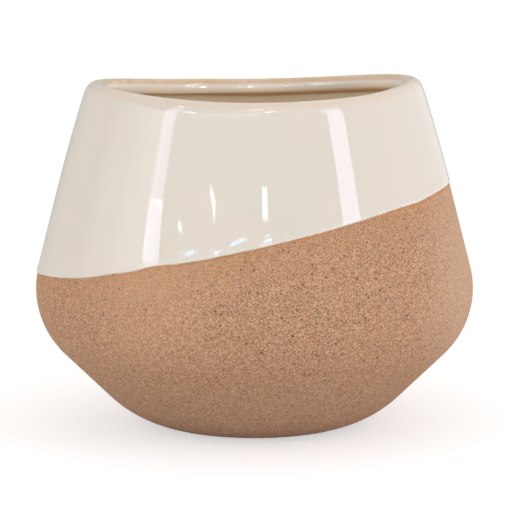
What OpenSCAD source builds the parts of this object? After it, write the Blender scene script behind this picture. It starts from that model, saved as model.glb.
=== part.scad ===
// Round stoneware flower pot: a bellied bowl that leans in to a thick, slightly warped rim.
// The bare clay shows on the lower part. A glossy coat, dipped at a slant, covers the upper part,
// and a second coat lines the inside. The floor has a drain hole with a rubber plug, and four
// small clear pads keep the foot off the table. Millimetres, +Z up, the front faces -Y.
// Heights named in the shape sections are measured from the foot of the clay.

/* [Shape of the pot] */
// Widest diameter, across the belly
belly_d = 280; // [250:1:320]
// Height of the widest point
belly_h = 86; // [78:1:96]
// Radius of the rounded belly
belly_round = 54.5; // [45:0.5:62]
// Diameter at the rim to which the neck's straight line leads
mouth_d = 216.5; // [190:0.5:235]
// Mean height of the rim
rim_h = 215.5; // [195:0.5:245]
// How far the crowned neck curves in at the rim, past its straight line
neck_crown = 2.1; // [0:0.1:4]
// Height of the crowned part of the neck, below the rim
crown_h = 62; // [44:1:80]
// Diameter of the flat foot
foot_d = 126; // [112:1:138]
// Radius of the curve that runs from the foot into the bowl
foot_round = 74; // [60:1:84]
// How far that curve turns under, where it meets the foot
foot_turn = 74; // [66:1:80]

/* [Warp of the rim] */
// Rise of the left and right of the rim, and fall of its front and back
rim_saddle = 3.6; // [0:0.1:6]
// Direction of the rise
saddle_turn = 4; // [-30:1:30]
// Rise of one side of the rim over the mean
rim_tilt = 1.3; // [0:0.1:4]
// Direction of the tilt
tilt_turn = -24; // [-90:1:90]

/* [Walls and lip] */
// Thickness of the wall, square to its surface
wall = 6.5; // [5:0.5:8]
// Thickness of the floor over the recess
floor_t = 9; // [7:0.5:12]
// Radius of the curve from the floor into the wall
floor_round = 40; // [30:1:48]
// Thickness of the lip
lip_t = 9.6; // [8:0.2:12]
// Height of the lip's inner face, from the crest to the undercut
lip_h = 9.4; // [8:0.2:12]
// Length of the outer shoulder below the crest
lip_shoulder = 8; // [5:0.5:12]
// Distance from the outer corner in to the crest
lip_crest = 4.8; // [3:0.2:6]
// Height of the curve from the crest into the inner face
lip_fall = 4.6; // [3:0.2:6]
// Radius of the lip's lower edge
lip_roll = 1.8; // [1:0.1:2.5]
// Height of the fillet under the lip
lip_fillet = 3.4; // [2:0.2:6]

/* [Glaze] */
// Thickness of both coats
glaze_t = 0.6; // [0.4:0.1:1]
// Height of the dip line's middle above the widest point
dip_rise = 41.5; // [36:0.5:50]
// Slant of the dip line
dip_tilt = 12.5; // [6:0.5:15]
// Direction in which the dip line rises
dip_turn = -4; // [-60:1:60]
// Length of the coat's rounded lower edge
dip_edge = 1.2; // [0.6:0.1:3]

/* [Foot and pads] */
// Width of the flat ring that the foot stands on
foot_ring_w = 12; // [11:0.5:16]
// Depth of the recess inside the ring
recess_h = 3; // [2:0.5:5]
// Radius of the recess's edges
recess_soft = 1.4; // [0.6:0.2:1.8]
// Diameter of a pad
pad_d = 8; // [6:0.5:10]
// Thickness of a pad
pad_t = 1.5; // [1:0.1:3]
// Rounding of a pad's lower edge
pad_soft = 0.5; // [0.2:0.1:0.8]
// Direction of the first pad
first_pad = 45; // [0:5:85]

/* [Drain hole and plug] */
// Diameter of the drain hole
hole_d = 18; // [12:1:26]
// Rounding of the hole's edges
hole_soft = 1.2; // [0.6:0.2:2]
// Bare margin between the hole's rounded edge and the inner coat
hole_margin = 0.8; // [0.4:0.1:2]
// Clearance of the plug in its hole and over its seat
plug_gap = 0.3; // [0.2:0.05:0.5]
// Overlap of the plug's flange on the inner coat
flange_lap = 3; // [2:0.5:6]
// Thickness of the flange
flange_t = 2.4; // [1.6:0.2:4]
// Rounding of the edges of the flange and of the stem's end
flange_soft = 0.8; // [0.4:0.1:1.2]
// Narrowing of the stem from its top to its bottom, on the radius
stem_taper = 1.2; // [0.4:0.2:2]
// Length of the stem that shows below the floor
stem_tail = 1.2; // [0.6:0.2:1.8]
// Width of the grip
grip_w = 13; // [8:1:16]
// Height of the grip above the flange
grip_h = 11; // [8:1:16]
// Thickness of the grip
grip_t = 4; // [2.5:0.5:6]

/* [Hidden] */
$fn = 72;

// Sections round the pot, and steps along each stretch of a section.
sides = 60;
foot_steps = 4;
bowl_steps = 6;
dip_steps = 4;
dip_crowding = 1.5; // above 1 the steps below the dip line lie closer towards its foot
neck_steps = 3;
shoulder_steps = 4;
crest_steps = 4;
roll_steps = 2;
fillet_steps = 3;
belly_steps = 7;
floor_steps = 5;
edge_steps = 4;     // steps along a rounded edge of a hole, the plug or a pad
dip_passes = 6;     // passes that settle the dip line's height on the sloping wall
pads = 4;
spare = 1;          // how far a cut runs past the surface it opens

clay = [0.74, 0.57, 0.45];
cream = [0.91, 0.88, 0.82];
cream_inside = [0.86, 0.82, 0.75];
rubber = [0.16, 0.16, 0.17];
clear_pad = [0.88, 0.86, 0.82];

// The outer profile: an arc at the foot, a straight bowl, an arc at the belly and a straight neck,
// which crowned() then curves in towards the rim.
belly_c = [belly_d / 2 - belly_round, belly_h];
foot_c = [foot_d / 2 - foot_round * cos(foot_turn), foot_round * sin(foot_turn)];
between = belly_c - foot_c;
bowl_turn = acos((foot_round - belly_round) / norm(between)) - atan2(between.y, between.x);
to_mouth = [mouth_d / 2, rim_h] - belly_c;
neck_turn = atan2(to_mouth.y, to_mouth.x) - acos(belly_round / norm(to_mouth));
bowl_low = foot_c + foot_round * [cos(bowl_turn), -sin(bowl_turn)];
bowl_high = belly_c + belly_round * [cos(bowl_turn), -sin(bowl_turn)];
neck_low = belly_c + belly_round * [cos(neck_turn), sin(neck_turn)];
crown_low = rim_h - crown_h;

// The inside: the belly's arc and the bowl moved in by the wall, and an arc into the flat floor.
floor_z = recess_h + floor_t;
inner_round = belly_round - wall;
inner_neck = belly_c + inner_round * [cos(neck_turn), sin(neck_turn)];
floor_c_z = floor_z + floor_round;
floor_c = [belly_c.x + (inner_round - floor_round + (floor_c_z - belly_c.y) * sin(bowl_turn))
           / cos(bowl_turn), floor_c_z];

// The dip line's middle, and the height up to which the sections share level rings.
dip_mid = belly_h + dip_rise;
level_top = min(belly_h, dip_mid - tan(dip_tilt) * belly_d / 2 - dip_edge);

// The drain hole, the seat of the plug and the ring that the pads stand on.
hole_r = hole_d / 2;
floor_end_r = hole_r / 2; // the sections end inside the hole, which then cuts them off
liner_hole_r = hole_r + hole_soft + hole_margin;
flange_r = liner_hole_r + flange_lap;
seat_z = pad_t + floor_z + glaze_t + plug_gap;
stem_r = hole_r - plug_gap;
recess_r = foot_d / 2 - foot_ring_w;
pad_ring_r = foot_d / 2 - foot_ring_w / 2;

// Outside radius of the neck's cone at height z.
function neck_r(z) = mouth_d / 2 + (rim_h - z) * tan(neck_turn);

// Outside radius of the whole profile at height z.
function outer_r(z) =
    z < bowl_low.y ? foot_c.x + sqrt(foot_round ^ 2 - (foot_c.y - z) ^ 2) :
    z < bowl_high.y ? bowl_low.x + (z - bowl_low.y) / tan(90 - bowl_turn) :
    z < neck_low.y ? belly_c.x + sqrt(belly_round ^ 2 - (z - belly_c.y) ^ 2) :
    neck_r(z);

// Height of the rim's crest and of the dip line in direction a.
function rim_z(a) = rim_h + rim_saddle * cos(2 * (a - saddle_turn)) + rim_tilt * cos(a - tilt_turn);
function dip_z(a, z = dip_mid, passes = dip_passes) =
    passes == 0 ? z :
    dip_z(a, dip_mid + tan(dip_tilt) * outer_r(z) * cos(a - dip_turn), passes - 1);

// Points of an arc from angle t0 to t1, and of a smooth curve from a to c with its corner at b.
function arc(c, r, t0, t1, n) =
    [for (i = [0:n]) let (t = t0 + (t1 - t0) * i / n) c + r * [cos(t), sin(t)]];
function curve(a, b, c, n) =
    [for (i = [0:n]) let (t = i / n) (1 - t) ^ 2 * a + 2 * t * (1 - t) * b + t ^ 2 * c];
function tail(path) = [for (i = [1:len(path) - 1]) path[i]];

// Outer face of a section in direction a, from the foot up to the dip line.
function bowl_path(a) = concat(
    arc(foot_c, foot_round, -foot_turn, -bowl_turn, foot_steps),
    arc(belly_c, belly_round, -bowl_turn, asin((level_top - belly_h) / belly_round), bowl_steps),
    [for (i = [1:dip_steps])
        let (z = level_top + (dip_z(a) - level_top) * (i / dip_steps) ^ dip_crowding)
        [outer_r(z), z]]);

// From the dip line up the neck and over the lip's shoulder to the crest.
function neck_path(a) =
    let (corner = [neck_r(rim_z(a)), rim_z(a)],
         shoulder = corner + lip_shoulder * [sin(neck_turn), -cos(neck_turn)],
         crest = corner - [lip_crest, 0])
    concat(
        [for (i = [0:neck_steps - 1]) let (z = dip_z(a) + (shoulder.y - dip_z(a)) * i / neck_steps)
            [outer_r(z), z]],
        curve(shoulder, corner, crest, shoulder_steps));

// From the crest down the lip's inner face, round the undercut, and down the wall to the floor.
function inner_path(a) =
    let (corner = [neck_r(rim_z(a)), rim_z(a)],
         in_wall = wall / cos(neck_turn),
         crest = corner - [lip_crest, 0],
         face = corner - [lip_t, lip_fall],
         edge = corner - [lip_t, lip_h - lip_roll],
         under = corner - [lip_t - lip_roll, lip_h],
         nook = [neck_r(under.y) - in_wall, under.y],
         join = [neck_r(under.y - lip_fillet) - in_wall, under.y - lip_fillet])
    concat(
        curve(crest, [face.x, crest.y], face, crest_steps),
        curve(edge, [edge.x, under.y], under, roll_steps),
        tail(curve(under, nook, join, fillet_steps)),
        [for (i = [1:neck_steps - 1]) join + (inner_neck - join) * i / neck_steps],
        arc(belly_c, inner_round, neck_turn, -bowl_turn, belly_steps),
        arc(floor_c, floor_round, -bowl_turn, -90, floor_steps),
        [[floor_end_r, floor_z]]);

// A point of a straight-necked section, moved in to the crowned neck.
function crowned(p) = p - [neck_crown * (max(p.y - crown_low, 0) / crown_h) ^ 2, 0];

// The whole section, and where the dip line, the crest and the floor's end lie in it.
function section(a) =
    [for (p = concat(bowl_path(a), tail(neck_path(a)), tail(inner_path(a)))) crowned(p)];
dip_i = len(bowl_path(0)) - 1;
crest_i = dip_i + len(neck_path(0)) - 1;
last_i = crest_i + len(inner_path(0)) - 1;

// The section's point i moved out of the clay by t, square to its neighbours.
function raised(path, i, t) =
    let (d = path[min(i + 1, last_i)] - path[i - 1])
    path[i] + t * [d.y, -d.x] / norm(d);

// The closed outline of a coat: its clay side from point i0 to i1, and back along its free side.
function dip_outline(path) = concat(
    [for (i = [dip_i:crest_i]) path[i]],
    [for (i = [crest_i:-1:dip_i + 1]) raised(path, i, glaze_t)],
    [raised(path, dip_i, glaze_t) + dip_edge * (path[dip_i + 1] - path[dip_i])
        / norm(path[dip_i + 1] - path[dip_i]),
     raised(path, dip_i, glaze_t / 2)]);
function liner_outline(path) = concat(
    [for (i = [crest_i:last_i]) path[i]],
    [for (i = [last_i:-1:crest_i]) raised(path, i, glaze_t)]);

// A solid skinned over one outline per direction. An open outline is closed by a disc at each end.
module skin(outlines, closed) {
    m = len(outlines[0]);
    n = len(outlines);
    rings = [for (j = [0:n - 1]) for (p = outlines[j])
        [p.x * cos(360 * j / n), p.x * sin(360 * j / n), p.y]];
    bands = [for (j = [0:n - 1]) for (k = [0:closed ? m - 1 : m - 2])
        let (near = j * m, far = (j + 1) % n * m, up = (k + 1) % m)
        each closed ? [[near + k, far + k, far + up], [near + k, far + up, near + up]]
                    : [[near + k, far + up, far + k], [near + k, near + up, far + up]]];
    ends = closed ? [] : [for (j = [0:n - 1])
        let (near = j * m, far = (j + 1) % n * m)
        each [[n * m, near, far], [n * m + 1, far + m - 1, near + m - 1]]];
    middles = closed ? [] : [[0, 0, outlines[0][0].y], [0, 0, outlines[0][m - 1].y]];
    polyhedron(points = concat(rings, middles), faces = concat(bands, ends), convexity = 8);
}

// The hollow under the foot, with a fillet at the top and a rounded lower edge.
module foot_recess() {
    rotate_extrude()
        polygon(concat(
            [[0, -spare], [recess_r + recess_soft, -spare]],
            arc([recess_r + recess_soft, recess_soft], recess_soft, 270, 180, edge_steps),
            arc([recess_r - recess_soft, recess_h - recess_soft], recess_soft, 0, 90, edge_steps),
            [[0, recess_h]]));
}

// The drain hole: a true bore with both edges rounded.
module drain_bore() {
    rotate_extrude()
        polygon(concat(
            [[0, recess_h - spare], [hole_r + hole_soft, recess_h - spare]],
            arc([hole_r + hole_soft, recess_h + hole_soft], hole_soft, 270, 180, edge_steps),
            arc([hole_r + hole_soft, floor_z - hole_soft], hole_soft, 180, 90, edge_steps),
            [[hole_r + hole_soft, floor_z + spare], [0, floor_z + spare]]));
}

// The fired clay body, bare from the foot up to the dip line.
module stoneware_body() {
    color(clay)
        translate([0, 0, pad_t])
            difference() {
                skin([for (j = [0:sides - 1]) section(360 * j / sides)], false);
                foot_recess();
                drain_bore();
            }
}

// The outer coat, from the slanted dip line up to the crest of the lip.
module dip_glaze() {
    color(cream)
        translate([0, 0, pad_t])
            skin([for (j = [0:sides - 1]) dip_outline(section(360 * j / sides))], true);
}

// The inner coat, from the crest of the lip down to the bare margin round the drain hole.
module liner_glaze() {
    color(cream_inside)
        translate([0, 0, pad_t])
            difference() {
                skin([for (j = [0:sides - 1]) liner_outline(section(360 * j / sides))], true);
                translate([0, 0, floor_z - spare])
                    cylinder(h = glaze_t + 2 * spare, r = liner_hole_r);
            }
}

// The rubber plug: a tapered stem, a flange that lies over the hole's edge and a grip to pull it by.
module drain_plug() {
    stem_end = pad_t + recess_h - stem_tail;
    color(rubber) {
        rotate_extrude()
            polygon(concat(
                [[0, stem_end]],
                arc([stem_r - stem_taper - flange_soft, stem_end + flange_soft],
                    flange_soft, 270, 360, edge_steps),
                [[stem_r, seat_z], [flange_r, seat_z]],
                arc([flange_r - flange_soft, seat_z + flange_t - flange_soft],
                    flange_soft, 0, 90, edge_steps),
                [[0, seat_z + flange_t]]));
        translate([0, grip_t / 2, seat_z + flange_t / 2])
            rotate([90, 0, 0])
                linear_extrude(grip_t) {
                    translate([-grip_w / 2, 0])
                        square([grip_w, grip_h + flange_t / 2 - grip_w / 2]);
                    translate([0, grip_h + flange_t / 2 - grip_w / 2])
                        circle(d = grip_w);
                }
    }
}

// Round clear pad number i, stuck under the foot's ring.
module foot_pad(i) {
    color(clear_pad)
        rotate([0, 0, first_pad + (i - 1) * 360 / pads])
            translate([pad_ring_r, 0, 0])
                rotate_extrude()
                    polygon(concat(
                        [[0, 0]],
                        arc([pad_d / 2 - pad_soft, pad_soft], pad_soft, 270, 360, edge_steps),
                        [[pad_d / 2, pad_t], [0, pad_t]]));
}

stoneware_body();
dip_glaze();
liner_glaze();
drain_plug();
foot_pad(1);  // foot_pad_1
foot_pad(2);  // foot_pad_2
foot_pad(3);  // foot_pad_3
foot_pad(4);  // foot_pad_4
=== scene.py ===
from math import acos, atan2, cos, exp, pi, radians, sin, sqrt, tan

import bpy
import numpy as np
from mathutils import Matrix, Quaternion, Vector, noise


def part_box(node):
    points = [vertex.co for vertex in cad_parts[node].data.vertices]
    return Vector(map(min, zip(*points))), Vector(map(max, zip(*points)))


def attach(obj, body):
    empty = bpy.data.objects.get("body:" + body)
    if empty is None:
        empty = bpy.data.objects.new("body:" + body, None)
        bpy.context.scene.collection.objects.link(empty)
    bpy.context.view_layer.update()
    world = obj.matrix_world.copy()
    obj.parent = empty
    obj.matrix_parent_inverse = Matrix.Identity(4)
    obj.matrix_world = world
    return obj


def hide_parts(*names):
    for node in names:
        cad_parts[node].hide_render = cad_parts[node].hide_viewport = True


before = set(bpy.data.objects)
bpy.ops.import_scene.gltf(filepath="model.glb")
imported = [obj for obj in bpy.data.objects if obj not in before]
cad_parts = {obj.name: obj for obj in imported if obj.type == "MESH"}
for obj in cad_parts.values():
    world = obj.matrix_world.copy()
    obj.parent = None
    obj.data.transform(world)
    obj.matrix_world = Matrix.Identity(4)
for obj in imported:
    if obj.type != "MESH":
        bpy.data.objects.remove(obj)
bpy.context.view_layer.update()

# The fired clay body: coarse sandy stoneware, slip-cast as a bellied bowl whose neck leans in to
# a thick rolled lip, and warped a little in the kiln. It stays bare below the dip line, and stands
# on a flat ring round a shallow recess, with a drain hole in the middle of its floor.
body_low, body_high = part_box("stoneware_body")
foot_z = body_low.z
belly_r = body_high.x
belly_z = foot_z + 0.086
belly_round = 0.0545
mouth_r = 0.10825
rim_z = foot_z + 0.2155
neck_crown = 0.0021
crown_h = 0.062
foot_r = 0.063
foot_round = 0.074
foot_turn = radians(74)

wall = 0.0065
floor_z = foot_z + 0.012
floor_round = 0.040
lip_t = 0.0096
lip_h = 0.0094
lip_shoulder = 0.008
lip_crest = 0.0048
lip_fall = 0.0046
lip_roll = 0.0018
lip_fillet = 0.0034

ring_w = 0.012
recess_z = foot_z + 0.003
recess_soft = 0.0014
hole_r = 0.009
hole_soft = 0.0012
soft_steps = 6
body_sides = 288

belly_c = Vector((belly_r - belly_round, belly_z))
foot_c = Vector((foot_r - foot_round * cos(foot_turn), foot_z + foot_round * sin(foot_turn)))
bowl_line = belly_c - foot_c
bowl_turn = acos((foot_round - belly_round) / bowl_line.length) - atan2(bowl_line.y, bowl_line.x)
neck_line = Vector((mouth_r, rim_z)) - belly_c
neck_turn = atan2(neck_line.y, neck_line.x) - acos(belly_round / neck_line.length)
neck_z = belly_z + belly_round * sin(neck_turn)


def neck_r(z):
    """Radius of the leaning neck's outer face at height z."""
    return mouth_r + (rim_z - z) * tan(neck_turn)


def outside_r(z):
    """Radius of the clay's outer face at the heights z, from the belly up."""
    bulge = np.sqrt(np.maximum(belly_round ** 2 - (z - belly_z) ** 2, 0))
    return np.where(z < neck_z, belly_c.x + bulge, neck_r(z))


def line(a, b, steps):
    """Points of a straight stretch of an outline."""
    return [a.lerp(b, i / steps) for i in range(steps + 1)]


def arc(centre, radius, start, end, steps):
    """Points of a round stretch of an outline, from one angle to another."""
    turns = [start + (end - start) * i / steps for i in range(steps + 1)]
    return [centre + radius * Vector((cos(t), sin(t))) for t in turns]


def curve(a, corner, b, steps):
    """Points of a soft corner, which leaves a and reaches b along the lines to the corner."""
    shares = [i / steps for i in range(steps + 1)]
    return [(1 - t) ** 2 * a + 2 * t * (1 - t) * corner + t * t * b for t in shares]


corner = Vector((mouth_r, rim_z))
shoulder = corner + lip_shoulder * Vector((sin(neck_turn), -cos(neck_turn)))
crest = corner - Vector((lip_crest, 0))
face = corner - Vector((lip_t, lip_fall))
roll = corner - Vector((lip_t, lip_h - lip_roll))
under = corner - Vector((lip_t - lip_roll, lip_h))
in_wall = wall / cos(neck_turn)
nook = Vector((neck_r(under.y) - in_wall, under.y))
fillet_z = under.y - lip_fillet
fillet_end = Vector((neck_r(fillet_z) - in_wall, fillet_z))
inner_round = belly_round - wall
inner_neck = belly_c + inner_round * Vector((cos(neck_turn), sin(neck_turn)))
floor_c_z = floor_z + floor_round
floor_c_r = inner_round - floor_round + (floor_c_z - belly_z) * sin(bowl_turn)
floor_c = Vector((belly_c.x + floor_c_r / cos(bowl_turn), floor_c_z))

lip_outside = curve(shoulder, corner, crest, 18)
lip_face = (
    curve(crest, Vector((face.x, crest.y)), face, 18)
    + curve(roll, Vector((roll.x, under.y)), under, 8)
)
lip_inside = lip_face + curve(under, nook, fillet_end, 10)[1:]
inside = (
    lip_inside
    + line(fillet_end, inner_neck, 14)[1:]
    + arc(belly_c, inner_round, neck_turn, -bowl_turn, 28)[1:]
    + arc(floor_c, floor_round, -bowl_turn, -pi / 2, 20)
)
recess_r = foot_r - ring_w
recess_top = Vector((recess_r - recess_soft, recess_z - recess_soft))
recess_foot = Vector((recess_r + recess_soft, foot_z + recess_soft))
underside = (
    arc(recess_top, recess_soft, pi / 2, 0, soft_steps)
    + arc(recess_foot, recess_soft, pi, 1.5 * pi, soft_steps)
)
outer_neck = belly_c + belly_round * Vector((cos(neck_turn), sin(neck_turn)))
outside = (
    arc(foot_c, foot_round, -foot_turn, -bowl_turn, 16)
    + arc(belly_c, belly_round, -bowl_turn, neck_turn, 40)
    + line(outer_neck, shoulder, 16)[1:]
)
hole_top = Vector((hole_r + hole_soft, floor_z - hole_soft))
hole_foot = Vector((hole_r + hole_soft, recess_z + hole_soft))
hole = (
    arc(hole_top, hole_soft, pi / 2, pi, soft_steps)
    + arc(hole_foot, hole_soft, pi, 1.5 * pi, soft_steps)
)
weld = 1e-6
true_corner = radians(35)


def turn_on_wheel(name, outline, steps):
    """A piece whose closed outline is drawn by extruding one point, then turned about the middle."""
    start = outline[0]
    bpy.ops.object.select_all(action="DESELECT")
    bpy.ops.mesh.primitive_plane_add(size=wall, location=(start.x, 0, start.y))
    piece = bpy.context.object
    piece.name = piece.data.name = name
    bpy.ops.object.transform_apply(location=True, rotation=True, scale=True)
    bpy.ops.object.mode_set(mode="EDIT")
    bpy.ops.mesh.select_all(action="SELECT")
    bpy.ops.mesh.merge(type="CENTER")
    for here, there in zip(outline, outline[1:] + [start]):
        step = (there.x - here.x, 0, there.y - here.y)
        bpy.ops.mesh.extrude_vertices_move(TRANSFORM_OT_translate={"value": step})
    bpy.ops.object.mode_set(mode="OBJECT")
    wheel = piece.modifiers.new("wheel", "SCREW")
    wheel.steps = wheel.render_steps = steps
    bpy.ops.object.modifier_apply(modifier=wheel.name)
    bpy.ops.object.mode_set(mode="EDIT")
    bpy.ops.mesh.select_all(action="SELECT")
    bpy.ops.mesh.remove_doubles(threshold=weld)
    bpy.ops.mesh.normals_make_consistent(inside=False)
    bpy.ops.object.mode_set(mode="OBJECT")
    return piece


def read_points(piece):
    """Radius, direction and height of each of a piece's points."""
    flat = np.empty(len(piece.data.vertices) * 3, np.float32)
    piece.data.vertices.foreach_get("co", flat)
    x, y, z = flat.reshape(-1, 3).astype(float).T
    return np.hypot(x, y), np.arctan2(y, x), z


def write_points(piece, radius, direction, z):
    """Moves a piece's points to the radii, directions and heights given."""
    places = np.column_stack((radius * np.cos(direction), radius * np.sin(direction), z))
    piece.data.vertices.foreach_set("co", places.astype(np.float32).ravel())
    piece.data.update()


def note(piece, name, values):
    """Keeps one number for each of a piece's points, for its material to read."""
    layer = piece.data.attributes.new(name, "FLOAT", "POINT")
    layer.data.foreach_set("value", values.astype(np.float32))


def smooth(piece):
    """Shades a piece smooth, except over its true corners."""
    bpy.ops.object.select_all(action="DESELECT")
    piece.select_set(True)
    bpy.context.view_layer.objects.active = piece
    bpy.ops.object.shade_smooth_by_angle(angle=true_corner)


def ease(share):
    """0 below 0, 1 above 1, and a soft step between."""
    share = np.clip(share, 0, 1)
    return share * share * (3 - 2 * share)


rim_saddle = 0.0036
saddle_turn = radians(4)
rim_tilt = 0.0013
tilt_turn = radians(-24)
lip_sag = 0.0005
lip_waves = (
    # direction in degrees, height and half width in degrees
    (-44, -0.0008, 20),
    (108, 0.0005, 14),
)
warp_margin = 0.004
warp_from = neck_z + warp_margin
warp_to = fillet_z - warp_margin


def humps(direction, table):
    """Height of the soft humps and dips in a table, in each direction."""
    height = np.zeros(len(direction))
    for hump_turn, hump_h, spread in table:
        away = (np.degrees(direction) - hump_turn + 180) % 360 - 180
        height += hump_h * np.exp(-((away / spread) ** 2))
    return height


def kiln_warp(direction, z):
    """How far the warped rim lifts or lowers a point: all of it at the lip, none at the belly."""
    rise = rim_saddle * np.cos(2 * (direction - saddle_turn)) - lip_sag
    rise += rim_tilt * np.cos(direction - tilt_turn) + humps(direction, lip_waves)
    return rise * ease((z - warp_from) / (warp_to - warp_from))


def crowned(z):
    """How far the crowned neck curves in at the heights z, past its straight line."""
    return neck_crown * (np.maximum(z - rim_z + crown_h, 0) / crown_h) ** 2


dip_mid = foot_z + 0.1275
dip_slant = radians(12.5)
dip_turn = radians(-4)
dip_sag = 0.00055
dip_humps = (
    # direction in degrees, height and half width in degrees
    (-164, 0.0007, 10),
    (-139, -0.0006, 6),
    (-129, 0.0003, 4),
    (-116.5, 0.0013, 5.5),
    (-50, 0.0004, 12),
    (-37, -0.0006, 6),
)
dip_wave = 0.0002
dip_wave_l = 0.026
dip_wave_row = 0.5
dip_passes = 6


def dip_z(direction):
    """Height of the dip line in each direction: a slanted level, with the waves of a hand's dip."""
    z = np.full(len(direction), dip_mid)
    for _ in range(dip_passes):
        z = dip_mid + tan(dip_slant) * outside_r(z) * np.cos(direction - dip_turn)
    level_r = outside_r(z)
    places = zip(level_r * np.cos(direction) / dip_wave_l, level_r * np.sin(direction) / dip_wave_l)
    waves = np.array([noise.noise(Vector((x, y, dip_wave_row))) for x, y in places])
    return z - dip_sag + humps(direction, dip_humps) + dip_wave * waves


body_outline = underside + outside + lip_outside[1:] + inside[1:] + hole
body = turn_on_wheel("fired_clay_body", body_outline, body_sides)
radius, direction, z = read_points(body)
rise = kiln_warp(direction, z)
write_points(body, radius - rise * tan(neck_turn) - crowned(z + rise), direction, z + rise)
note(body, "below_dip", dip_z(direction) - z - rise)
smooth(body)


class Tone:
    """A number or colour that varies over a surface. Sums and products add their Math nodes."""

    def __init__(self, nodes, socket):
        self.nodes = nodes
        self.socket = socket

    def maths(self, operation, *terms):
        return self.nodes.add("Math", {"operation": operation}, dict(enumerate(terms)))

    def __add__(self, other):
        return self.maths("ADD", self, other)

    __radd__ = __add__

    def __sub__(self, other):
        return self.maths("SUBTRACT", self, other)

    def __rsub__(self, other):
        return self.maths("SUBTRACT", other, self)

    def __mul__(self, other):
        return self.maths("MULTIPLY", self, other)

    __rmul__ = __mul__


class Nodes:
    """A tree of shader nodes, and the one way in which a node is added to it."""

    def __init__(self, owner):
        owner.use_nodes = True
        self.tree = owner.node_tree

    def add(self, kind, settings, sockets, out=0):
        """Adds a node with its settings, then the values or links of its sockets."""
        node = self.tree.nodes.new("ShaderNode" + kind)
        for setting, value in settings.items():
            setattr(node, setting, value)
        self.feed(node, sockets)
        return Tone(self, node.outputs[out])

    def feed(self, node, sockets):
        """Gives a node's sockets their values or links."""
        for socket, value in sockets.items():
            if isinstance(value, Tone):
                self.tree.links.new(value.socket, node.inputs[socket])
            else:
                node.inputs[socket].default_value = value

    def step(self, tone, low, high):
        """0 where the tone is below low, 1 where it is above high, and soft between."""
        ends = {"Value": tone, "From Min": low, "From Max": high}
        return self.add("MapRange", {"interpolation_type": "SMOOTHSTEP"}, ends)

    def blend(self, mask, below, above):
        """One colour where the mask is 0 and another where it is 1."""
        return self.add("Mix", {"data_type": "RGBA"}, {0: mask, 6: below, 7: above}, 2)


class Finish(Nodes):
    """The finish of one kind of surface: its material, and the textures that it is made of."""

    def __init__(self, name, constants):
        self.material = bpy.data.materials.new(name)
        super().__init__(self.material)
        self.shader = self.tree.nodes["Principled BSDF"]
        self.feed(self.shader, constants)
        self.place = self.add("TexCoord", {}, {}, "Object")

    def grains(self, size):
        """Cells of about that size in metres: the distance from a cell's middle, in sizes."""
        return self.add("TexVoronoi", {}, {"Vector": self.place, "Scale": 1 / size}, "Distance")

    def lots(self, size):
        """The same cells as grains gives: three random numbers for each of them."""
        cells = self.add("TexVoronoi", {}, {"Vector": self.place, "Scale": 1 / size}, "Color")
        return [self.add("SeparateColor", {}, {"Color": cells}, part) for part in range(3)]

    def cloud(self, size, detail=2.0):
        """Soft noise with a mean of one half, whose patches have about that size in metres."""
        return self.add("TexNoise", {}, {"Vector": self.place, "Scale": 1 / size, "Detail": detail})

    def noted(self, name):
        """The number kept for each point under that name."""
        return self.add("Attribute", {"attribute_name": name}, {}, "Fac")

    def emboss(self, height, depth):
        """Raises the surface by the tone, where 1 is that depth in metres."""
        bump = self.add("Bump", {}, {"Height": height, "Distance": depth}, "Normal")
        self.feed(self.shader, {"Normal": bump})


def srgb(red, green, blue):
    """A colour as it looks on a screen, from 0 to 255, as the shader wants it."""
    shares = [c / 255 for c in (red, green, blue)]
    return (*[c / 12.92 if c < 0.04045 else ((c + 0.055) / 1.055) ** 2.4 for c in shares], 1)


grit_size = 0.00055
fleck_size = 0.0021
speck_size = 0.0044
patch_size = 0.035
stain_size = 0.02
stain_edge = (0.0004, 0.0026)
near_dip_edge = (0.0, 0.03)
grit_depth = 0.00016
# Where the sand has painted light, is lighter and greyer at the foot, or is stained: ranges of the
# distance across the pot, or of the height.
painted_light_right = (0.09, 0.137)
painted_light_left = (-0.115, -0.07)
painted_light_left_end = (-0.06, 0)
painted_light_left_h = (0.04, 0.08)
light_grey_foot_h = (0.01, 0.075)
stained_right = (-0.08, 0.06)

clay = Finish("bare_sandy_clay", {"Roughness": 0.9, "Specular IOR Level": 0.2})
grit = clay.grains(grit_size)
light, hue, rare = clay.lots(grit_size)
sand = clay.blend(clay.step(light, 0, 1), srgb(146, 98, 64), srgb(234, 192, 152))
sand = clay.blend(clay.step(hue, 0.5, 0.7) * 0.32, sand, srgb(182, 154, 132))
sand = clay.blend(clay.step(rare, 0.78, 0.84) * 0.4, sand, srgb(228, 158, 96))
patches = clay.cloud(patch_size)
sand = clay.blend(clay.step(patches, 0.35, 0.75) * 0.2, sand, srgb(206, 160, 126))
fleck = 1 - clay.step(clay.grains(fleck_size), 0.13, 0.21)
sand = clay.blend(fleck * 0.42, sand, srgb(104, 78, 58))
speck_lot = clay.lots(speck_size)[1]
speck = (1 - clay.step(clay.grains(speck_size), 0.12, 0.17)) * clay.step(speck_lot, 0.3, 0.45)
sand = clay.blend(speck * 0.9, sand, srgb(70, 54, 44))
below = clay.noted("below_dip")
near_dip = 1 - clay.step(below, *near_dip_edge)
sand = clay.blend(near_dip * 0.3, sand, srgb(206, 152, 108))
across, height = [clay.add("SeparateXYZ", {}, {0: clay.place}, axis) for axis in ("X", "Z")]
# The sand is lighter and greyer towards the foot.
sand = clay.blend((1 - clay.step(height, *light_grey_foot_h)) * 0.25, sand, srgb(190, 160, 142))
# Painted light: the sand is lighter on the right, front and back, where the light grazes it.
sand = clay.blend(clay.step(across, *painted_light_right) * 0.32, sand, srgb(236, 206, 178))
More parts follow.
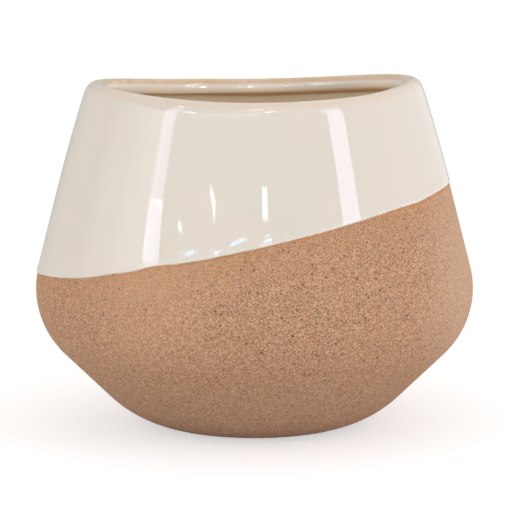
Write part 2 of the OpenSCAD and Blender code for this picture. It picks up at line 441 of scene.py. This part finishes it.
# Painted light: lighter sand on the left of the belly, front and back, for light from the front left.
painted_left_light_mask = clay.step(across, *painted_light_left) * (1 - clay.step(across, *painted_light_left_end))
painted_left_light_mask = painted_left_light_mask * clay.step(height, *painted_light_left_h)
sand = clay.blend(painted_left_light_mask * 0.24, sand, srgb(244, 194, 152))
to_right = clay.step(across, *stained_right)
stain = (1 - clay.step(below, *stain_edge)) * clay.step(clay.cloud(stain_size), 0.3, 0.65)
sand = clay.blend(stain * (to_right * 0.45 + 0.35), sand, srgb(206, 142, 80))
clay.feed(clay.shader, {"Base Color": sand})
clay.emboss(clay.step(grit, 0.75, 0.15) + fleck * -0.6, grit_depth)
body.data.materials.append(clay.material)
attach(body, "pot")
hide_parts("stoneware_body")

# The dipped coat: a glossy cream glaze, which the pot took when it was lowered upside down, at a
# slant, into the glaze. It runs from the crest of the lip to the dip line, where it has pooled to
# a rounded bead over the sandy clay, and it breaks thin and tan over the crest.
glaze_t = 0.0006
bedding = 0.0001
pool_t = 0.00022
pool_h = 0.0010
edge_h = 0.0008
edge_steps = 7
pool_steps = 20
pool_growth = 1.16
even_steps = 16
calm_h = 0.012
run_h = 0.0048
run_lean = 0.12
run_squareness = 8
runs = (
    # direction and half width in degrees, height and thickness
    (-106.8, 2.4, 0.0088, 0.00092),
    (-99.9, 1.8, 0.0052, 0.00066),
    (-94.5, 3.8, 0.0098, 0.00072),
    (-86.4, 2.2, 0.0058, 0.00060),
)
ripple_t = 0.00004
ripple_l = 0.024
rag_t = 0.0004
rag_l = 0.0016
coat_sides = 1080


def raised(path, thickness):
    """An outline's points moved out of the clay, square to their neighbours."""
    ahead = path[1:] + path[-1:]
    behind = path[:1] + path[:-1]
    moved = []
    for point, after, before in zip(path, ahead, behind):
        along = (after - before).normalized()
        moved.append(point + thickness * Vector((along.y, -along.x)))
    return moved


def pooled_t(height):
    """Thickness of the coat at a height over its lower edge: rounded end, pooled bead, even coat."""
    pool = height / pool_h * exp(1 - height / pool_h)
    rounding = sqrt(1 - (1 - min(height / edge_h, 1)) ** 2)
    return (glaze_t + pool_t * pool) * rounding


def neck_point(height, thickness):
    """A point over the neck, at a height over the dip line's middle."""
    z = dip_mid + height
    return Vector((neck_r(z), z)) + thickness * Vector((cos(neck_turn), sin(neck_turn)))


heights = [edge_h * (1 - cos(i * pi / 2 / edge_steps)) for i in range(1, edge_steps)]
heights += [edge_h * pool_growth ** i for i in range(pool_steps)]
neck_rise = shoulder.y - dip_mid
pooled_h = heights[-1]
heights += [pooled_h + (neck_rise - pooled_h) * i / even_steps for i in range(1, even_steps)]
free_side = [neck_point(h, pooled_t(h)) for h in heights] + raised(lip_outside, glaze_t)
clay_side = raised(line(neck_point(0, 0), shoulder, 8) + lip_outside[2::2], -bedding)
coat = turn_on_wheel("dipped_cream_coat", clay_side[::-1] + free_side, coat_sides)

radius, direction, z = read_points(coat)
height = z - dip_mid
free = radius - outside_r(z) > 0
dip = dip_z(direction)
slide = (dip - dip_mid) * (1 - ease((height - calm_h) / (neck_rise - calm_h)))
slide += kiln_warp(direction, z)
at_edge = np.exp(-np.maximum(height, 0) / edge_h)
rag_places = np.column_stack((belly_r * np.cos(direction), belly_r * np.sin(direction))) / rag_l
rags = np.array([noise.noise(Vector((x, y, 0))) for x, y in rag_places])
new_z = z + slide + rag_t * rags * at_edge


def ripple(radius, direction, z):
    """The slight unevenness of a poured coat's thickness."""
    places = np.column_stack((radius * np.cos(direction), radius * np.sin(direction), z)) / ripple_l
    return ripple_t * np.array([noise.noise(Vector(place)) for place in places])


swell = ripple(radius, direction, z) * ease(height / pool_h)
for run_turn, run_w, run_top, run_t in runs:
    beside = (np.degrees(direction) - run_turn) / run_w
    run_z = run_top * (1 + run_lean * beside) * np.exp(-(beside ** run_squareness))
    hang = np.clip((run_z - height) / run_h, 0, 1)
    swell += run_t * hang * ease(height / edge_h)
new_r = radius + outside_r(new_z) - outside_r(z) + swell * free - crowned(new_z)
from_crest = np.hypot(radius - crest.x, z - crest.y)
write_points(coat, new_r, direction, new_z)
note(coat, "above_edge", np.maximum(height, 0))
note(coat, "from_crest", from_crest)
smooth(coat)

glaze_ior = 1.5
gloss = 0.03
dullness = 0.2
tint_size = 0.045
fizz_size = 0.0019
break_size = 0.014
pinhole_spread = 0.06
pit_spread = 0.013
# Where the coat pools, fizzes and pits: ranges of the height over its edge. Where it breaks tan and is
# duller: ranges of the distance from the crest, or of the distance across the pot, front and back.
pooled_edge = (0.0006, 0.0026)
fizz_edge = (0.0012, 0.003)
fizz_right = (-0.08, 0)
pit_edge = (0.0007, 0.0016)
break_from = (0.001, 0.0026)
break_to = (0.0042, 0.008)
dull_from = (-0.034, -0.029)
dull_to = (0.004, 0.006)
dull_reach = (0.0105, 0.012)

cream = Finish("cream_glaze", {"IOR": glaze_ior})
glaze = cream.blend(cream.cloud(tint_size), srgb(233, 221, 206), srgb(229, 224, 208))
above = cream.noted("above_edge")
pooled = 1 - cream.step(above, *pooled_edge)
glaze = cream.blend(pooled * 0.2, glaze, srgb(238, 232, 222))
across = cream.add("SeparateXYZ", {}, {0: cream.place}, "X")
fizz = cream.step(cream.cloud(fizz_size, 4.0), 0.5, 0.62) * (1 - cream.step(above, *fizz_edge))
glaze = cream.blend(fizz * cream.step(across, *fizz_right) * 0.5, glaze, srgb(252, 250, 246))
from_lip = cream.noted("from_crest")
breaks = cream.step(from_lip, *break_from) * (1 - cream.step(from_lip, *break_to))
glaze = cream.blend(breaks * (cream.cloud(break_size) * 0.5 + 0.2), glaze, srgb(234, 208, 184))
pinhole = 1 - cream.step(cream.grains(pinhole_spread), 0.006, 0.010)
glaze = cream.blend(pinhole * 0.5, glaze, srgb(170, 148, 126))
pit = (1 - cream.step(cream.grains(pit_spread), 0.05, 0.09)) * (1 - cream.step(above, *pit_edge))
glaze = cream.blend(pit * 0.8, glaze, srgb(118, 88, 60))
duller = cream.step(across, *dull_from) * (1 - cream.step(across, *dull_to))
duller = duller * (1 - cream.step(from_lip, *dull_reach))
cream.feed(cream.shader, {"Base Color": glaze, "Roughness": gloss + duller * dullness})
coat.data.materials.append(cream.material)
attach(coat, "pot")
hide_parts("dip_glaze")

# The inner coat: the same cream glaze, poured in, swilled round and poured out again. It covers
# the lip's inner face, the undercut, the wall and the floor, up to a wiped margin round the hole.
hole_margin = 0.0008
bulge_t = 0.0006
bulge_h = 0.0068
liner_sides = 432
margin_r = hole_r + hole_soft + hole_margin
liner_path = inside + [Vector((margin_r, floor_z))]
lip_roll_face = corner - Vector((lip_t + bulge_t, bulge_h))
lip_roll_curve = curve(crest, Vector((lip_roll_face.x, crest.y)), lip_roll_face, 24)
lip_roll_foot = curve(lip_roll_face, Vector((lip_roll_face.x, under.y)), under, 10)[1:]
liner_free = raised(lip_roll_curve + lip_roll_foot + liner_path[len(lip_face):], glaze_t)
liner_bed = raised(liner_path[::2] + liner_path[-1:], -bedding)
liner = turn_on_wheel("poured_inner_coat", liner_free + liner_bed[::-1], liner_sides)
radius, direction, z = read_points(liner)
rise = kiln_warp(direction, z)
from_crest = np.hypot(radius - crest.x, z - crest.y)
from_under = np.hypot(radius - under.x, z - under.y)
write_points(liner, radius - rise * tan(neck_turn) - crowned(z + rise), direction, z + rise)
note(liner, "from_crest", from_crest)
note(liner, "from_under", from_under)
smooth(liner)

inner_tint_size = 0.03
thin_size = 0.01
# Where the lip's face has painted light, the coat is thin, and painted shade greys the lip: ranges of
# the distance from the crest. Where painted shade greys the lip and darkens the undercut: ranges of the
# distance across the pot, front and back, and from the corner under the lip.
painted_light_lip_edge = (0.0068, 0.0095)
thin_edge = (0.0048, 0.0072)
grey_shade_from = (0, 0.04)
grey_shade_to = (0.06, 0.085)
grey_shade_reach = (0.0095, 0.012)
undercut_shade_edge = (0.0012, 0.0034)
undercut_shade_growth = 0.0008
undercut_shade_right = (-0.06, 0)

inner = Finish("inner_glaze", {"Roughness": gloss, "IOR": glaze_ior})
# Painted light: this cream is lighter and warmer than the dipped coat's, for the warm light bounced
# about inside the pot.
glaze = inner.blend(inner.cloud(inner_tint_size), srgb(247, 232, 205), srgb(243, 231, 210))
from_lip = inner.noted("from_crest")
# Painted light: the lip's inner face is lighter than the wall under it.
glaze = inner.blend(1 - inner.step(from_lip, *painted_light_lip_edge), glaze, srgb(250, 243, 230))
across = inner.add("SeparateXYZ", {}, {0: inner.place}, "X")
# Painted shade: a grey zone on the lip's inner face, right of the middle, front and back.
painted_grey_shade = inner.step(across, *grey_shade_from) * (1 - inner.step(across, *grey_shade_to))
painted_grey_shade = painted_grey_shade * (1 - inner.step(from_lip, *grey_shade_reach))
glaze = inner.blend(painted_grey_shade * 0.5, glaze, srgb(212, 208, 195))
thin = 1 - inner.step(from_lip, *thin_edge)
glaze = inner.blend(thin * (inner.cloud(thin_size) * 0.6 + 0.5), glaze, srgb(220, 182, 136))
# Painted shade: the undercut under the lip is darkened brown, reaching further down on the right.
to_right = inner.step(across, *undercut_shade_right)
undercut_shade = 1 - inner.step(inner.noted("from_under") - to_right * undercut_shade_growth, *undercut_shade_edge)
glaze = inner.blend(undercut_shade * 0.85, glaze, srgb(198, 146, 100))
inner.feed(inner.shader, {"Base Color": glaze})
liner.data.materials.append(inner.material)
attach(liner, "pot")
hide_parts("liner_glaze")

# The drain plug: a soft black rubber stopper, moulded in one piece, with a tapered stem that hangs
# in the hole, a flange that lies over its edge and a flat grip to pull it out by.
plug_low, plug_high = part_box("drain_plug")
flange_r = plug_high.x
flange_t = 0.0024
flange_soft = 0.0009
plug_gap = 0.0003
seat_z = floor_z + glaze_t + plug_gap
stem_r = hole_r - plug_gap
stem_taper = 0.0012
grip_w = 0.013
grip_t = 0.004
grip_soft = 0.0008
on_axis = 1e-5
plug_voxel = 0.00035
plug_sides = 96
stem_foot = Vector((stem_r - stem_taper - flange_soft, plug_low.z + flange_soft))
flange_top = Vector((flange_r - flange_soft, seat_z + flange_t - flange_soft))
plug_outline = (
    [Vector((0, plug_low.z))]
    + arc(stem_foot, flange_soft, -pi / 2, 0, 5)
    + [Vector((stem_r, seat_z)), Vector((flange_r, seat_z))]
    + arc(flange_top, flange_soft, 0, pi / 2, 5)
    + [Vector((0, seat_z + flange_t))]
)
plug = turn_on_wheel("pull_out_plug", plug_outline, plug_sides)
grip_foot = seat_z + flange_t / 2
bpy.ops.object.select_all(action="DESELECT")
bpy.ops.mesh.primitive_cylinder_add(
    vertices=64, radius=grip_w / 2, depth=grip_t, location=(0, 0, plug_high.z - grip_w / 2),
    rotation=(pi / 2, 0, 0))
grip = bpy.context.object
bpy.ops.object.transform_apply(location=True, rotation=True, scale=True)
for point in grip.data.vertices:
    if point.co.z < plug_high.z - grip_w / 2:
        point.co.x = np.sign(point.co.x) * grip_w / 2 if abs(point.co.x) > on_axis else 0
        point.co.z = grip_foot
bevel = grip.modifiers.new("soft_edges", "BEVEL")
bevel.width = grip_soft
bevel.segments = 4
bpy.ops.object.modifier_apply(modifier=bevel.name)
plug.select_set(True)
bpy.context.view_layer.objects.active = plug
bpy.ops.object.join()
remesh = plug.modifiers.new("one_moulding", "REMESH")
remesh.mode = "VOXEL"
remesh.voxel_size = plug_voxel
bpy.ops.object.modifier_apply(modifier=remesh.name)
soften = plug.modifiers.new("soft_corners", "SMOOTH")
soften.factor = 0.5
soften.iterations = 6
bpy.ops.object.modifier_apply(modifier=soften.name)
smooth(plug)

bloom_size = 0.006
rubber_grain = 0.0006
fine_depth = 0.00004

rubber = Finish("plug_rubber", {"Specular IOR Level": 0.4})
bloom = rubber.cloud(bloom_size)
black = rubber.blend(bloom, srgb(38, 38, 40), srgb(52, 51, 51))
rubber.feed(rubber.shader, {"Base Color": black, "Roughness": 0.48 + bloom * 0.2})
rubber.emboss(rubber.cloud(rubber_grain), fine_depth)
plug.data.materials.append(rubber.material)
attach(plug, "plug")
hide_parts("drain_plug")

# The foot pads: four clear silicone discs, punched from sheet and stuck under the foot's flat
# ring, which keep the rough clay from scratching what the pot stands on.
pad_low, pad_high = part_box("foot_pad_1")
pad_r = (pad_high.x - pad_low.x) / 2
pad_soft = 0.0005
dust_size = 0.0012
bpy.ops.object.select_all(action="DESELECT")
bpy.ops.mesh.primitive_cylinder_add(
    vertices=72, radius=pad_r, depth=foot_z, location=(0, 0, foot_z / 2))
first_pad = bpy.context.object
bpy.ops.object.transform_apply(location=True, rotation=True, scale=True)
bpy.ops.object.mode_set(mode="EDIT")
bpy.ops.mesh.select_all(action="DESELECT")
bpy.ops.mesh.select_mode(type="FACE")
bpy.ops.object.mode_set(mode="OBJECT")
for side in first_pad.data.polygons:
    side.select = side.normal.z < -0.5
bpy.ops.object.mode_set(mode="EDIT")
bpy.ops.mesh.bevel(offset=pad_soft, segments=5, affect="EDGES")
bpy.ops.object.mode_set(mode="OBJECT")

soft_clear = Finish("pad_silicone", {"Transmission Weight": 1.0, "IOR": 1.41})
dust = soft_clear.cloud(dust_size)
milky = soft_clear.blend(dust, srgb(236, 234, 230), srgb(250, 249, 247))
soft_clear.feed(soft_clear.shader, {"Base Color": milky, "Roughness": 0.12 + dust * 0.2})
soft_clear.emboss(dust, fine_depth)
for number in range(1, 5):
    low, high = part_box(f"foot_pad_{number}")
    pad = first_pad.copy()
    pad.data = first_pad.data.copy()
    pad.name = pad.data.name = f"stick_on_pad_{number}"
    bpy.context.collection.objects.link(pad)
    for point in pad.data.vertices:
        point.co += Vector(((low.x + high.x) / 2, (low.y + high.y) / 2, 0))
    pad.data.materials.append(soft_clear.material)
    smooth(pad)
    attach(pad, "pot")
    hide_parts(f"foot_pad_{number}")
bpy.data.objects.remove(first_pad)

# The table that the pot stands on: wide, plain and pale. It keeps the pot's soft shadow, and where
# it is in sight a glow of its own brings it up to the white of the surround.
table_r = 20
table_shade = 0.84
table_shown_shade = 0.6
table_glow = 0.56
bpy.ops.object.select_all(action="DESELECT")
bpy.ops.mesh.primitive_circle_add(vertices=96, radius=table_r, fill_type="NGON")
table = bpy.context.object
table.name = table.data.name = "pale_table"
white = Finish("white_table", {"Roughness": 0.9, "Specular IOR Level": 0.1})


def in_sight(nodes):
    """1 for the rays that show the background: straight, by gloss or through glass. 0 for light."""
    kinds = ("Camera", "Glossy", "Transmission")
    ways = [nodes.add("LightPath", {}, {}, f"Is {kind} Ray") for kind in kinds]
    return ways[0].maths("MAXIMUM", ways[0].maths("MAXIMUM", ways[0], ways[1]), ways[2])


def even(level):
    """A colour of equal red, green and blue."""
    return level, level, level, 1


seen = in_sight(white)
tabletop = white.blend(seen, even(table_shade), even(table_shown_shade))
white.feed(white.shader, {"Base Color": tabletop})
lit = Tone(white, white.shader.outputs[0])
glow = white.add("Emission", {}, {"Color": even(1), "Strength": table_glow})
shown = white.add("MixShader", {}, {0: seen, 1: lit, 2: white.add("AddShader", {}, {0: lit, 1: glow})})
white.feed(white.tree.nodes["Material Output"], {"Surface": shown})
table.data.materials.append(white.material)

# The studio: an even white surround, a little stronger from the right, and soft boxes that the gloss
# shows as tall bands. Only the gloss shows the rest: bluish windows and small lamps, low and high, as
# sparks, and a grey sweep round the pot's back, left and front, which draws its outline.
surround_level = 0.765
surround_lean = 0.08
surround = bpy.data.worlds.new("white_studio")
bpy.context.scene.world = surround
room = Nodes(surround)
across = room.add("SeparateXYZ", {}, {0: room.add("TexCoord", {}, {}, "Generated")})
level = surround_level + across * surround_lean
tint = room.blend(across * across, (1, 0.965, 0.915, 1), (1, 0.935, 0.87, 1))
seen = in_sight(room)
strength = room.add("Mix", {"data_type": "FLOAT"}, {0: seen, 2: level, 3: 1.0})
colour = room.blend(seen, tint, even(1))
room.feed(room.tree.nodes["Background"], {"Color": colour, "Strength": strength})

aim = Vector((0, 0, 0.11))
lamp_distance = 1.6
daylight = (0.67, 0.72, 1.0)
cool_white = (0.85, 0.93, 1.0)


def faces_pot(azimuth, elevation, roll):
    """A place round the pot, and the turn that faces its middle from there, rolled clockwise."""
    a, e = radians(azimuth), radians(elevation)
    back = Vector((sin(a) * cos(e), -cos(a) * cos(e), sin(e)))
    turn = (-back).to_track_quat("-Z", "Y") @ Quaternion((0, 0, 1), radians(roll))
    return aim + lamp_distance * back, turn.to_euler()


studio_lamps = (
    # name, azimuth, elevation, roll, width, height, brightness and colour
    ("left_soft_box", -56.4, 13.2, 6.3, 0.25, 0.31, 6.1, (0.73, 0.78, 1.0)),
    ("left_upper_box", -57.0, 32.4, 0, 0.19, 0.80, 3.8, daylight),
    ("left_scrim", -61.4, 28, 0, 0.08, 0.55, 1.6, daylight),
    ("right_soft_box", 55.1, 18, 0, 0.285, 1.0, 5.9, (0.71, 0.75, 1.0)),
    ("right_upper_box", 55.1, 38.4, 0, 0.285, 0.17, 5.2, (0.71, 0.75, 1.0)),
    ("left_lamp", -23.6, 21.8, 63, 0.028, 0.104, 12.0, cool_white),
    ("middle_lamp", 5.8, 22.35, 0, 0.078, 0.078, 11.0, cool_white),
    ("far_left_lamp", -41.2, 19.06, 0, 0.065, 0.005, 14.0, cool_white),
)
sparks = (
    # the same, for what only the gloss shows: bluish windows and small lamps beyond the soft boxes
    ("left_window", -45, 36, 0, 0.25, 0.12, 10.0, (0.28, 0.60, 1.0)),
    ("middle_left_window", -28.5, 37, 0, 0.13, 0.12, 12.0, (0.45, 0.72, 1.0)),
    ("middle_window", -15.5, 36, 0, 0.24, 0.12, 10.0, (0.28, 0.60, 1.0)),
    ("right_window", 0, 37, 0, 0.19, 0.14, 10.0, (0.40, 0.70, 1.0)),
    ("high_middle_lamp", 10.7, 48, 20, 0.15, 0.06, 20.0, cool_white),
    ("low_right_lamp", 43.5, 10, 0, 0.17, 0.28, 25.0, cool_white),
    ("low_middle_lamp", 13, 11, 0, 0.13, 0.10, 40.0, cool_white),
    ("low_front_lamp", 3, 13, 0, 0.16, 0.09, 30.0, cool_white),
    ("low_left_lamp", -28.5, 12, 0, 0.14, 0.08, 25.0, cool_white),
    ("high_left_lamp", -63, 53, 0, 0.12, 0.12, 9.0, cool_white),
    ("high_front_lamp", 3, 60, 0, 0.09, 0.12, 30.0, cool_white),
)


def hang_lamp(name, azimuth, elevation, roll, width, tall, brightness, colour):
    """Hangs one lamp round the pot, facing it and out of the camera's sight."""
    place, turn = faces_pot(azimuth, elevation, roll)
    bpy.ops.object.light_add(type="AREA", location=place, rotation=turn)
    lamp = bpy.context.object
    lamp.name = lamp.data.name = name
    lamp.data.shape = "RECTANGLE"
    lamp.data.size = width
    lamp.data.size_y = tall
    lamp.data.energy = brightness * pi * width * tall
    lamp.data.color = colour
    lamp.visible_camera = False
    return lamp


for row in studio_lamps:
    hang_lamp(*row)
for row in sparks:
    hang_lamp(*row).visible_diffuse = False

sweep_r = 1.7
sweep_h = 1.2
sweep_from = -120
sweep_to = 116
over_table = 0.002
floor_from = -60
floor_to = -8
fade_h = 10 * over_table
paper_shade = (0.55, 0.57, 0.54, 1)
sweep_levels = (
    # directions in degrees, forwards from the left, between which it changes to a brightness
    (-102, -120, 1.0),
    (-75, -15, 1.02),
    (-20, 2, 2.1),
    (0, 25, 3.4),
    (28, 40, 2.1),
    (45, 115, 1.0),
)
bpy.ops.object.select_all(action="DESELECT")
bpy.ops.mesh.primitive_cylinder_add(
    vertices=180, radius=sweep_r, depth=sweep_h, end_fill_type="TRIFAN",
    location=(0, 0, sweep_h / 2 + over_table))
sweep = bpy.context.object
sweep.name = sweep.data.name = "grey_sweep"
bpy.ops.object.transform_apply(location=True, rotation=True, scale=True)
bpy.ops.object.mode_set(mode="EDIT")
bpy.ops.mesh.select_all(action="DESELECT")
bpy.ops.mesh.select_mode(type="FACE")
bpy.ops.object.mode_set(mode="OBJECT")
for panel in sweep.data.polygons:
    x, y, z = panel.center
    last = sweep_to if z > 2 * over_table else floor_to
    panel.select = not radians(sweep_from) < atan2(-y, -x) < radians(last) or panel.normal.z > 0.5
bpy.ops.object.mode_set(mode="EDIT")
bpy.ops.mesh.delete(type="FACE")
bpy.ops.object.mode_set(mode="OBJECT")

grey = Finish("grey_sweep", {"Base Color": (0, 0, 0, 1), "Roughness": 1.0, "Emission Strength": 1.0})
x, y, z = [grey.add("SeparateXYZ", {}, {0: grey.place}, part) for part in range(3)]
to_front = x.maths("ARCTAN2", 0 - y, 0 - x)
paper = paper_shade
for low, high, level in sweep_levels:
    paper = grey.blend(grey.step(to_front, radians(low), radians(high)), paper, even(level))
to_table = 1 - grey.step(z, over_table, fade_h)
to_table = to_table * grey.step(to_front, radians(floor_from), radians(floor_to))
paper = grey.blend(to_table, paper, even(1))
grey.feed(grey.shader, {"Emission Color": paper})
sweep.data.materials.append(grey.material)
sweep.visible_camera = sweep.visible_diffuse = sweep.visible_transmission = sweep.visible_shadow = False

# The camera, at the photograph's height and distance. Its shift is only what the framing needs.
view_distance = 1.6
view_elevation = radians(8.2)
view_aim = Vector((0, 0, foot_z + 0.110))
bpy.ops.object.camera_add(
    location=view_aim + view_distance * Vector((0, -cos(view_elevation), sin(view_elevation))),
    rotation=(pi / 2 - view_elevation, 0, 0))
camera = bpy.context.object
camera.data.sensor_width = 36
camera.data.lens = 175.3
camera.data.shift_x = 0.0029
camera.data.shift_y = -0.0138
camera.data.clip_start = 0.1
camera.data.clip_end = 60
bpy.context.scene.camera = camera
bpy.context.scene.view_settings.view_transform = "Standard"
